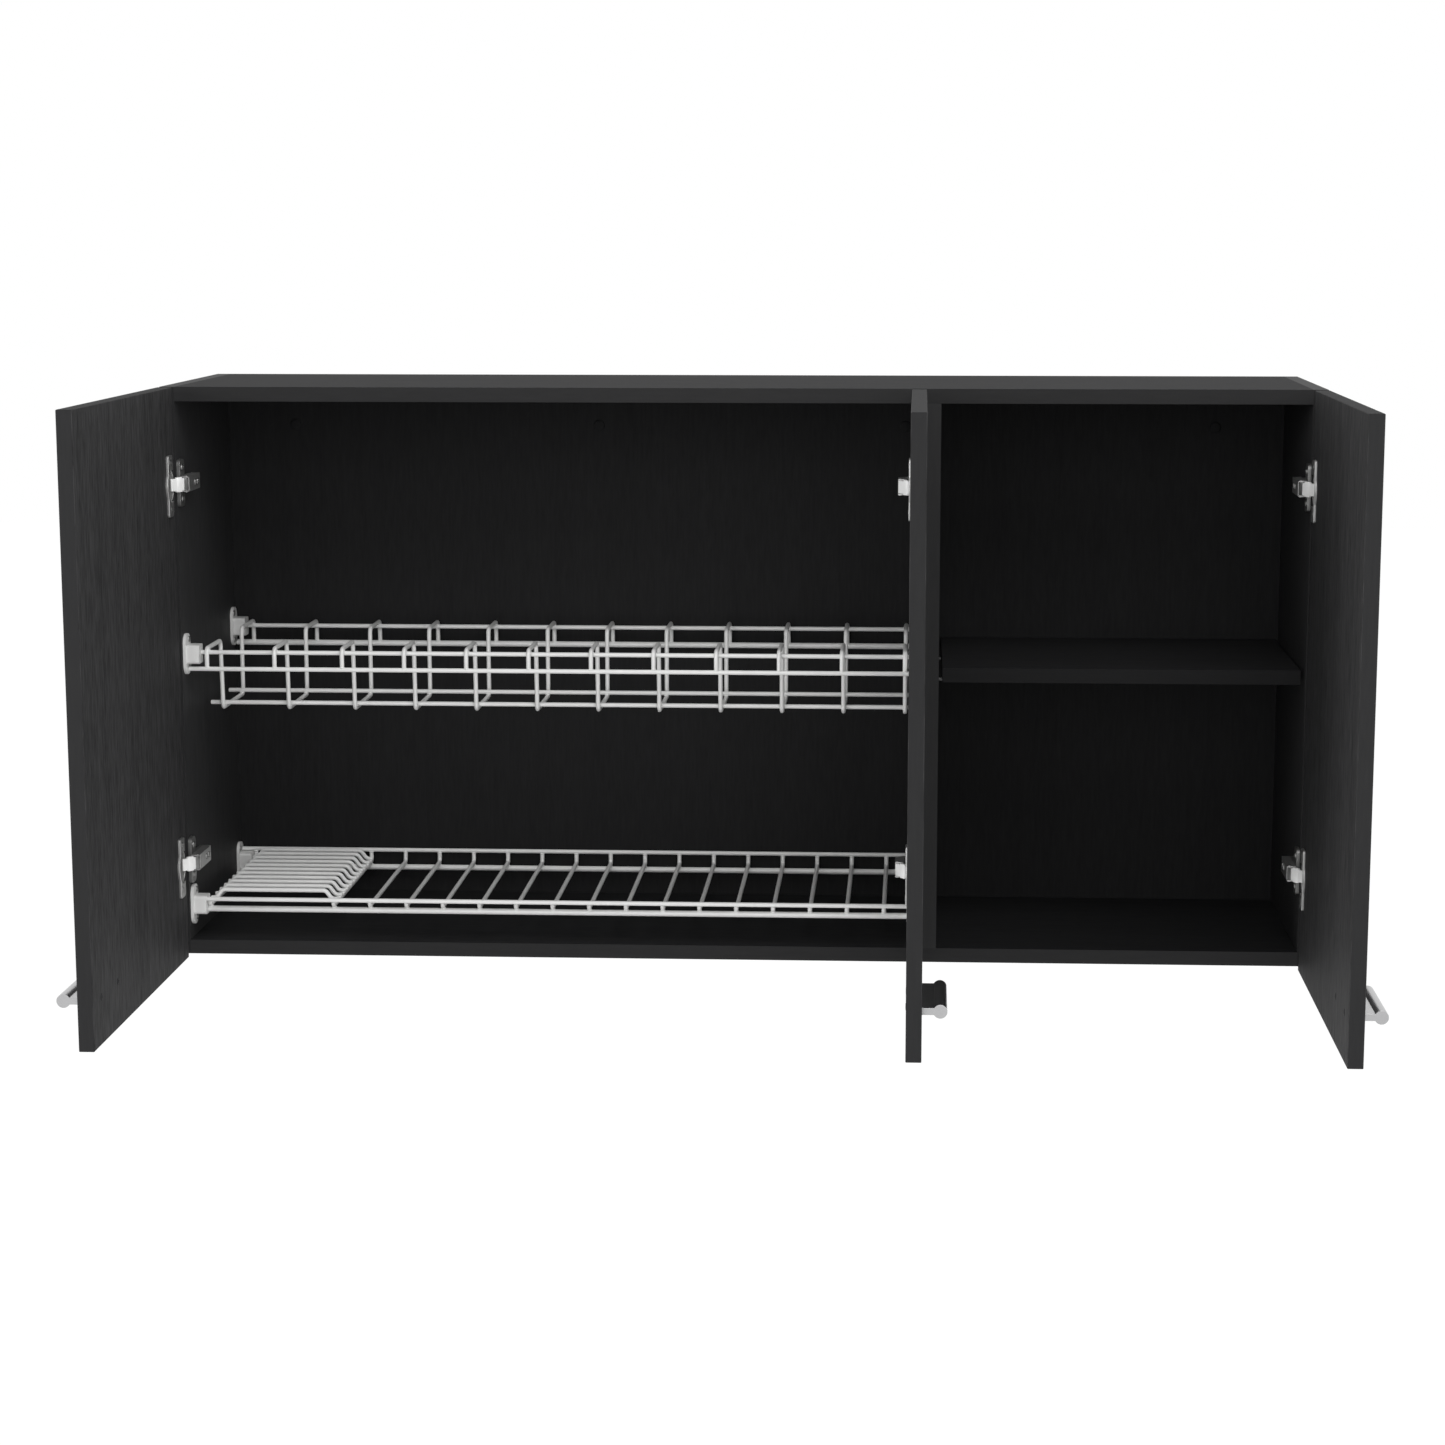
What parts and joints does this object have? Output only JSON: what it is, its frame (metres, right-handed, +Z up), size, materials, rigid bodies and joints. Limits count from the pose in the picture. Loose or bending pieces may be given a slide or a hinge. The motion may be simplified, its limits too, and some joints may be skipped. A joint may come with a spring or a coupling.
{
  "type": "kitchen wall cabinet",
  "caption": "Wide wall cabinet with hinged board doors, a wire plate rack over a cup and saucer rack on one side of a divider, and a shelf on the other side.",
  "frame": {"origin": "centre of the row of four wall-screw holes, on the wall plane behind the cabinet", "axes": "+X to the cabinet's right as seen from the front, +Y from the front to the wall, +Z up; the doors stand open at a right angle at rest"},
  "size_m": [1.2476, 0.6915, 0.602],
  "materials": {
    "carcass_board": "melamine-faced board, matt near-black with a fine wood grain",
    "door_board": "melamine-faced board, matt near-black with a fine upright wood grain",
    "back_board": "thin hardboard, lacquered near-black on the inside",
    "rail_board": "melamine-faced board",
    "hinge_steel": "pressed steel, bright nickel plated",
    "fastener_steel": "zinc plated",
    "handle_metal": "polished, with plain saw-cut ends",
    "coated_wire": "white epoxy-coated steel wire, satin",
    "bracket_plastic": "moulded white plastic",
    "dowel_wood": "plain beech"
  },
  "bodies": {
    "carcass": {"assembly_screws": "fastener_steel", "back_panel": "back_board", "bottom_panel": "carcass_board", "bracket_screws": "fastener_steel", "centre_divider": "carcass_board", "cup_rack_brackets": "bracket_plastic", "cup_rack_rails": "coated_wire", "cup_rack_wires": "coated_wire", "dowels": "dowel_wood", "hanging_rail": "rail_board", "left_arm_screws": "fastener_steel", "left_hinge_arms": "hinge_steel", "left_hinge_pins": "fastener_steel", "left_hinge_plates": "hinge_steel", "left_plate_screws": "fastener_steel", "left_side_panel": "carcass_board", "lower_rail": "rail_board", "middle_arm_screws": "fastener_steel", "middle_hinge_arms": "hinge_steel", "middle_hinge_pins": "fastener_steel", "middle_hinge_plates": "hinge_steel", "middle_plate_screws": "fastener_steel", "plate_rack_brackets": "bracket_plastic", "plate_rack_rails": "coated_wire", "plate_rack_wires": "coated_wire", "right_arm_screws": "fastener_steel", "right_hinge_arms": "hinge_steel", "right_hinge_pins": "fastener_steel", "right_hinge_plates": "hinge_steel", "right_plate_screws": "fastener_steel", "right_side_panel": "carcass_board", "saucer_comb": "coated_wire", "shelf": "carcass_board", "shelf_pins": "fastener_steel", "top_panel": "carcass_board"},
    "left_door": {"left_door": "door_board", "left_hinge_cups": "hinge_steel", "left_cup_screws": "fastener_steel", "left_handle": "handle_metal", "left_handle_screws": "fastener_steel"},
    "left_links": {"left_hinge_links": "hinge_steel"},
    "middle_door": {"middle_door": "door_board", "middle_hinge_cups": "hinge_steel", "middle_cup_screws": "fastener_steel", "middle_handle": "handle_metal", "middle_handle_screws": "fastener_steel"},
    "middle_links": {"middle_hinge_links": "hinge_steel"},
    "right_door": {"right_door": "door_board", "right_hinge_cups": "hinge_steel", "right_cup_screws": "fastener_steel", "right_handle": "handle_metal", "right_handle_screws": "fastener_steel"},
    "right_links": {"right_hinge_links": "hinge_steel"}
  },
  "joints": [
    {"name": "left_door_hinge", "type": "hinge", "parent": "carcass", "child": "left_door", "pos_m": [-0.5965, -0.2965, -0.245], "axis": [0, 0, -1], "range_deg": [-90, 5]},
    {"name": "left_link_pivot", "type": "hinge", "parent": "carcass", "child": "left_links", "pos_m": [-0.574, -0.287, -0.245], "axis": [0, 0, -1], "range_deg": [-2, 36]},
    {"name": "middle_door_hinge", "type": "hinge", "parent": "carcass", "child": "middle_door", "pos_m": [0.192, -0.2995, -0.245], "axis": [0, 0, 1], "range_deg": [-90, 5]},
    {"name": "middle_link_pivot", "type": "hinge", "parent": "carcass", "child": "middle_links", "pos_m": [0.1665, -0.287, -0.245], "axis": [0, 0, 1], "range_deg": [-2.5, 45]},
    {"name": "right_door_hinge", "type": "hinge", "parent": "carcass", "child": "right_door", "pos_m": [0.5965, -0.2965, -0.245], "axis": [0, 0, 1], "range_deg": [-90, 5]},
    {"name": "right_link_pivot", "type": "hinge", "parent": "carcass", "child": "right_links", "pos_m": [0.574, -0.287, -0.245], "axis": [0, 0, 1], "range_deg": [-2, 36]}
  ],
  "couplings": [
    {"joint": "left_link_pivot", "follows": "left_door_hinge", "ratio": -0.4},
    {"joint": "middle_link_pivot", "follows": "middle_door_hinge", "ratio": -0.5},
    {"joint": "right_link_pivot", "follows": "right_door_hinge", "ratio": -0.4}
  ]
}
